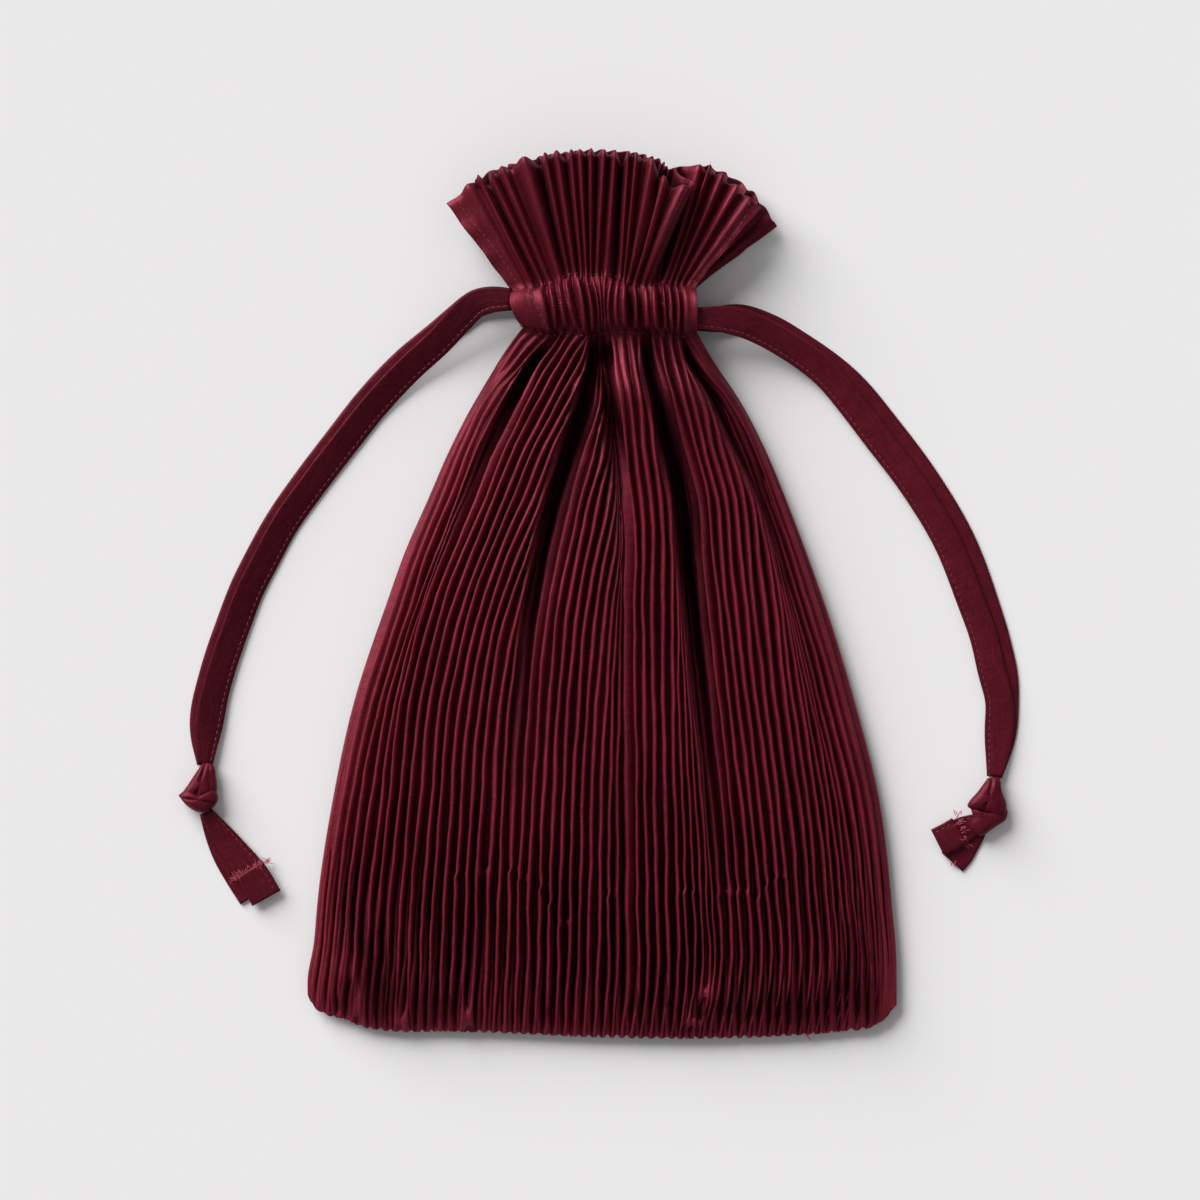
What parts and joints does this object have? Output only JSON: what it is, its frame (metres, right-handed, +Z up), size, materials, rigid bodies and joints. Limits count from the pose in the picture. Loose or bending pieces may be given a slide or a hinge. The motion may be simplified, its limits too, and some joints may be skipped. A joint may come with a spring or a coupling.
{
  "type": "pleated drawstring bag",
  "caption": "Accordion-pleated satin pouch lying flat, its neck gathered by flat tape drawstrings that are knotted at both sides.",
  "frame": {"origin": "on the table, under the middle of the bag without its drawstrings' free lengths", "axes": "+Y towards the mouth, +X to the right of the front, +Z up from the back panel to the front panel"},
  "size_m": [0.2856, 0.2998, 0.0229],
  "materials": {
    "satin": "satin",
    "tape": "satin"
  },
  "bodies": {
    "root": {"front_panel": "satin", "back_panel": "satin", "left_drawstring": "tape", "right_drawstring": "tape", "left_upper_strand": "tape", "left_under_strand": "tape", "right_upper_strand": "tape", "right_under_strand": "tape", "left_knot": "tape", "right_knot": "tape", "left_tail_over": "tape", "left_tail_under": "tape", "right_tail_over": "tape", "right_tail_under": "tape"}
  },
  "joints": []
}
